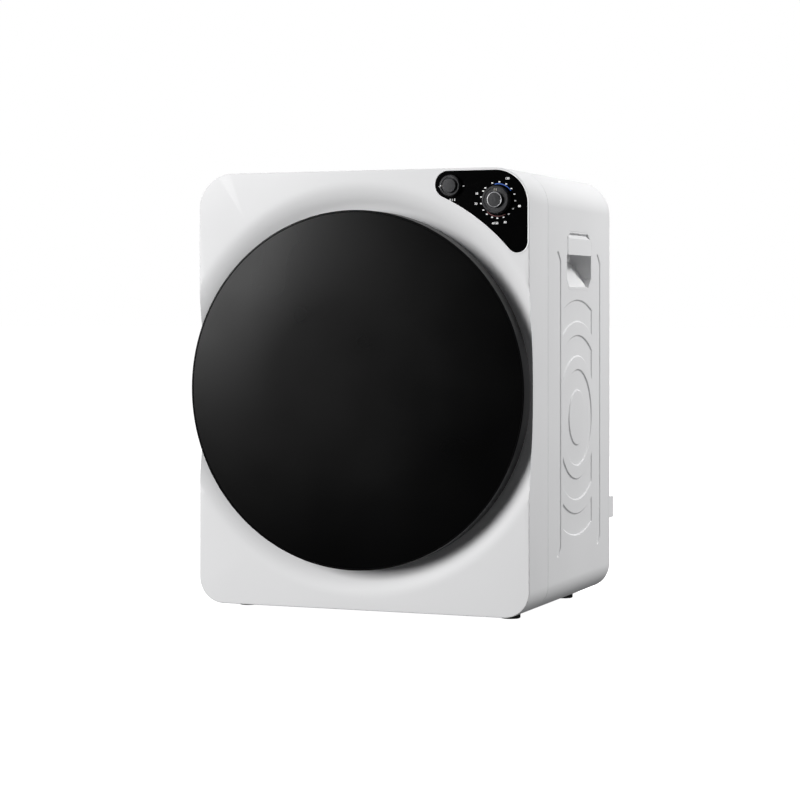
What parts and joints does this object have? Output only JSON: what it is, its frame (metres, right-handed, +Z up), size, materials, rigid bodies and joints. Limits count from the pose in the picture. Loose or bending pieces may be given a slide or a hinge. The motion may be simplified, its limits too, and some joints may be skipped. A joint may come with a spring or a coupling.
{
  "type": "compact tumble dryer",
  "caption": "Compact vented clothes dryer: white cabinet with a dished front, round black overlay door and corner control panel with two knobs.",
  "frame": {"origin": "on the floor, under the centre of the bounding box", "axes": "+Z up, +X right seen from the front, front faces -Y"},
  "size_m": [0.49, 0.424, 0.61],
  "materials": {
    "white_moulding": "satin white moulding",
    "white_steel": "white powder coat",
    "black_gloss": "piano black",
    "knob": "dark turned face",
    "door_ring": "satin black",
    "door_glass": "back-painted black glass, opaque",
    "grey_moulding": "light grain",
    "smoked": "smoked",
    "black_rubber": "matte",
    "felt": "wool felt",
    "foam": "open-cell foam",
    "galvanised": "galvanised sheet",
    "stainless": "brushed",
    "bright_steel": "zinc plated",
    "white_plastic": "fine grain",
    "blue_plastic": "fine grain",
    "filter_mesh": "fine mesh",
    "bronze": "oiled bronze",
    "duct_metal": "bare",
    "magnet": "fine grain",
    "heater": "oxidised"
  },
  "bodies": {
    "cabinet": {"base_pan": "galvanised", "cabinet_shell": "white_steel", "centre_axle": "bright_steel", "control_fascia": "black_gloss", "cord_cleats": "white_moulding", "cord_inlet_grommet": "black_rubber", "door_switch_body": "white_plastic", "drum_belt": "black_rubber", "drum_front_support": "galvanised", "exhaust_collar": "duct_metal", "fan_belt": "black_rubber", "fan_housing": "white_plastic", "fan_housing_cover": "galvanised", "foot_bolts": "bright_steel", "front_felt_ring": "felt", "front_panel": "white_moulding", "heater_duct": "galvanised", "heater_element": "heater", "heater_housing": "galvanised", "hinge_bracket": "stainless", "hinge_pin": "bright_steel", "idler_arm": "galvanised", "idler_bracket": "galvanised", "idler_spring": "bright_steel", "latch_magnet": "magnet", "motor_body": "duct_metal", "motor_bracket": "galvanised", "rear_bulkhead": "galvanised", "rear_felt_ring": "felt", "rear_panel": "white_steel", "rear_panel_screws": "bright_steel", "rear_support_bar": "galvanised", "rubber_feet": "black_rubber", "selector_switch": "white_plastic", "side_handle_left": "white_moulding", "side_handle_right": "white_moulding", "timer_unit": "white_plastic"},
    "door": {"door_bezel": "door_ring", "door_glass": "door_glass", "door_liner": "grey_moulding", "door_bowl": "smoked", "door_seal": "black_rubber", "strike_plate": "stainless", "door_screws": "bright_steel", "hinge_leaf": "stainless"},
    "door_switch_plunger": {"door_switch_plunger": "white_plastic"},
    "drum": {"drum_shell": "stainless", "drum_back": "stainless", "drum_bush": "bronze", "drum_baffles": "white_plastic"},
    "lint_filter": {"lint_filter_frame": "blue_plastic", "lint_filter_mesh": "filter_mesh"},
    "fan": {"fan_impeller": "white_plastic"},
    "motor_rotor": {"motor_shaft": "bright_steel", "fan_drive_pulley": "bright_steel"},
    "idler": {"idler_wheel": "white_plastic"},
    "timer_knob": {"timer_knob": "knob"},
    "mode_knob": {"mode_knob": "knob"},
    "intake_cover": {"intake_cover": "grey_moulding", "intake_filter": "foam"}
  },
  "joints": [
    {"name": "door_hinge", "type": "hinge", "parent": "cabinet", "child": "door", "pos_m": [-0.233, -0.196, 0.31], "axis": [0, 0, -1], "range_deg": [0, 110]},
    {"name": "door_switch_slide", "type": "slide", "parent": "cabinet", "child": "door_switch_plunger", "axis": [0, -1, 0], "range_m": [0, 0.004]},
    {"name": "drum_spin", "type": "hinge", "parent": "cabinet", "child": "drum", "pos_m": [0, 0, 0.31], "axis": [0, 1, 0], "continuous": true},
    {"name": "lint_filter_pull", "type": "slide", "parent": "drum", "child": "lint_filter", "axis": [0, -1, 0], "range_m": [0, 0.18]},
    {"name": "motor_spin", "type": "hinge", "parent": "cabinet", "child": "motor_rotor", "pos_m": [0.178, 0.05, 0.072], "axis": [0, 1, 0], "continuous": true},
    {"name": "fan_spin", "type": "hinge", "parent": "cabinet", "child": "fan", "pos_m": [0, 0.14, 0.31], "axis": [0, 1, 0], "continuous": true},
    {"name": "idler_spin", "type": "hinge", "parent": "cabinet", "child": "idler", "pos_m": [0.092, -0.021, 0.062], "axis": [0, 1, 0], "continuous": true},
    {"name": "timer_knob_turn", "type": "hinge", "parent": "cabinet", "child": "timer_knob", "pos_m": [0.2003, -0.195, 0.5656], "axis": [0, 1, 0], "range_deg": [0, 330]},
    {"name": "mode_knob_turn", "type": "hinge", "parent": "cabinet", "child": "mode_knob", "pos_m": [0.134, -0.192, 0.586], "axis": [0, 1, 0], "range_deg": [0, 180]},
    {"name": "intake_cover_pull", "type": "slide", "parent": "cabinet", "child": "intake_cover", "axis": [0, 1, 0], "range_m": [0, 0.04]}
  ],
  "couplings": [
    {"joint": "door_switch_slide", "follows": "door_hinge", "m_per_rad": 0.00208},
    {"joint": "motor_spin", "follows": "drum_spin", "ratio": 26.271},
    {"joint": "fan_spin", "follows": "drum_spin", "ratio": 23.669},
    {"joint": "idler_spin", "follows": "drum_spin", "ratio": -10.484}
  ]
}
